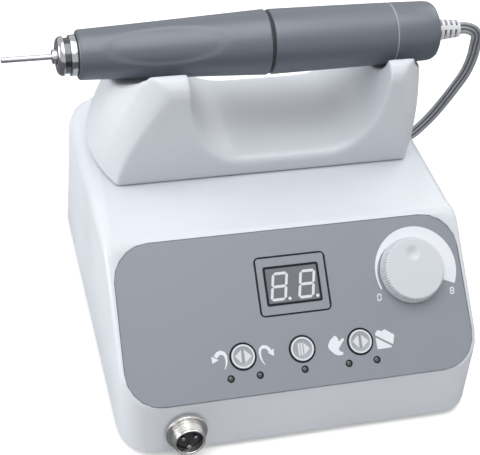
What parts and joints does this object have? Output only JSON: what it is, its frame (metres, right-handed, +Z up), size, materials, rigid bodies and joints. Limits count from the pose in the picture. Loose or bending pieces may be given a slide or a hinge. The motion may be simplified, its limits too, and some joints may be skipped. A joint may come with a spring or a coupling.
{
  "type": "dental micromotor polisher",
  "caption": "Bench micromotor polisher: wedge control box with display, keys and speed dial, a cradle on top, and a corded handpiece lying in it with its bur and coiled lead.",
  "frame": {"origin": "on the table, under the middle of the box round the unit and its handpiece without the cord", "axes": "+X along the handpiece towards its cord end, +Z up, and -Y out of the front panel"},
  "size_m": [0.2219, 0.2497, 0.1314],
  "materials": {
    "housing": "satin moulded",
    "base": "satin moulded",
    "cradle": "satin moulded",
    "foot": "matt",
    "screw": "zinc plated",
    "panel": "satin film",
    "display_window": "gloss",
    "black_plastic": "matt",
    "circuit_board": "solder resist",
    "key": "satin",
    "lamp": "tinted",
    "knob": "satin",
    "steel": "machined",
    "socket_metal": "nickel plated",
    "contact": "plated",
    "nose_chrome": "polished",
    "grip": "satin",
    "motor_case": "satin",
    "end_cap": "satin",
    "strain_relief": "matt",
    "collet": "polished",
    "winding": "enamelled copper",
    "bur": "ground",
    "rocker": "satin",
    "core_steel": "laminated",
    "heat_sink": "extruded",
    "cord": "matt",
    "tie": "hook and loop",
    "plug_metal": "nickel plated",
    "plug_ring": "knurled, plated"
  },
  "bodies": {
    "control_unit": {"upper_housing": "housing", "base_plate": "base", "handpiece_cradle": "cradle", "rubber_foot_1": "foot", "rubber_foot_2": "foot", "rubber_foot_3": "foot", "rubber_foot_4": "foot", "base_screw_1": "screw", "base_screw_2": "screw", "base_screw_3": "screw", "base_screw_4": "screw", "front_panel": "panel", "display_window": "display_window", "display_module": "black_plastic", "control_board": "circuit_board", "key_switch_1": "black_plastic", "key_switch_2": "black_plastic", "key_switch_3": "black_plastic", "mode_lamp_1": "lamp", "mode_lamp_2": "lamp", "mode_lamp_3": "lamp", "mode_lamp_4": "lamp", "mode_lamp_5": "lamp", "potentiometer": "steel", "potentiometer_nut": "steel", "motor_socket_shell": "socket_metal", "motor_socket_insulator": "black_plastic", "motor_socket_pin_1": "contact", "motor_socket_pin_2": "contact", "motor_socket_pin_3": "contact", "motor_socket_nut": "steel", "mains_inlet": "black_plastic", "power_switch_frame": "black_plastic", "fuse_holder": "black_plastic", "pedal_socket": "socket_metal", "power_board": "circuit_board", "transformer": "core_steel", "heat_sink": "heat_sink", "cord_free": "cord", "cord_coil": "cord", "coil_tie": "tie", "plug_body": "plug_metal"},
    "speed_dial": {"speed_knob": "knob", "potentiometer_shaft": "steel"},
    "reverse_key": {"reverse_button": "key"},
    "standby_key": {"standby_button": "key"},
    "hand_foot_key": {"hand_foot_button": "key"},
    "power_switch": {"power_rocker": "rocker"},
    "handpiece": {"motor_case": "motor_case", "nose_ring": "nose_chrome", "end_cap": "end_cap", "strain_relief": "strain_relief", "stator": "winding", "front_bearing": "steel", "rear_bearing": "steel"},
    "grip": {"front_sleeve": "grip"},
    "spindle": {"collet": "collet", "rotor": "steel"},
    "bur": {"bur_shank": "bur"},
    "coupling_ring": {"plug_ring": "plug_ring"}
  },
  "joints": [
    {"name": "speed_turn", "type": "hinge", "parent": "control_unit", "child": "speed_dial", "pos_m": [0.0622, -0.04038, 0.05206], "axis": [0, -0.6018, 0.7986], "range_deg": [-135, 135]},
    {"name": "reverse_press", "type": "slide", "parent": "control_unit", "child": "reverse_key", "axis": [0, 0.6018, -0.7986], "range_m": [0, 0.0006], "stiffness_N_per_m": 1500},
    {"name": "standby_press", "type": "slide", "parent": "control_unit", "child": "standby_key", "axis": [0, 0.6018, -0.7986], "range_m": [0, 0.0006], "stiffness_N_per_m": 1500},
    {"name": "hand_foot_press", "type": "slide", "parent": "control_unit", "child": "hand_foot_key", "axis": [0, 0.6018, -0.7986], "range_m": [0, 0.0006], "stiffness_N_per_m": 1500},
    {"name": "power_rock", "type": "hinge", "parent": "control_unit", "child": "power_switch", "pos_m": [0.00603, 0.08204, 0.03], "axis": [1, 0, 0], "range_deg": [-14, 0]},
    {"name": "handpiece_lift", "type": "slide", "parent": "control_unit", "child": "handpiece", "axis": [0, 0, 1], "range_m": [0, 0.03]},
    {"name": "grip_twist", "type": "hinge", "parent": "handpiece", "child": "grip", "pos_m": [-0.0286, 0.03854, 0.1176], "axis": [1, 0, 0], "range_deg": [0, 45]},
    {"name": "spindle_spin", "type": "hinge", "parent": "handpiece", "child": "spindle", "pos_m": [-0.0286, 0.03854, 0.1176], "axis": [1, 0, 0], "continuous": true},
    {"name": "bur_pull", "type": "slide", "parent": "spindle", "child": "bur", "axis": [-1, 0, 0], "range_m": [0, 0.022]},
    {"name": "coupling_turn", "type": "hinge", "parent": "control_unit", "child": "coupling_ring", "pos_m": [0.0702, 0.10904, 0.0085], "axis": [1, 0, 0], "continuous": true}
  ]
}
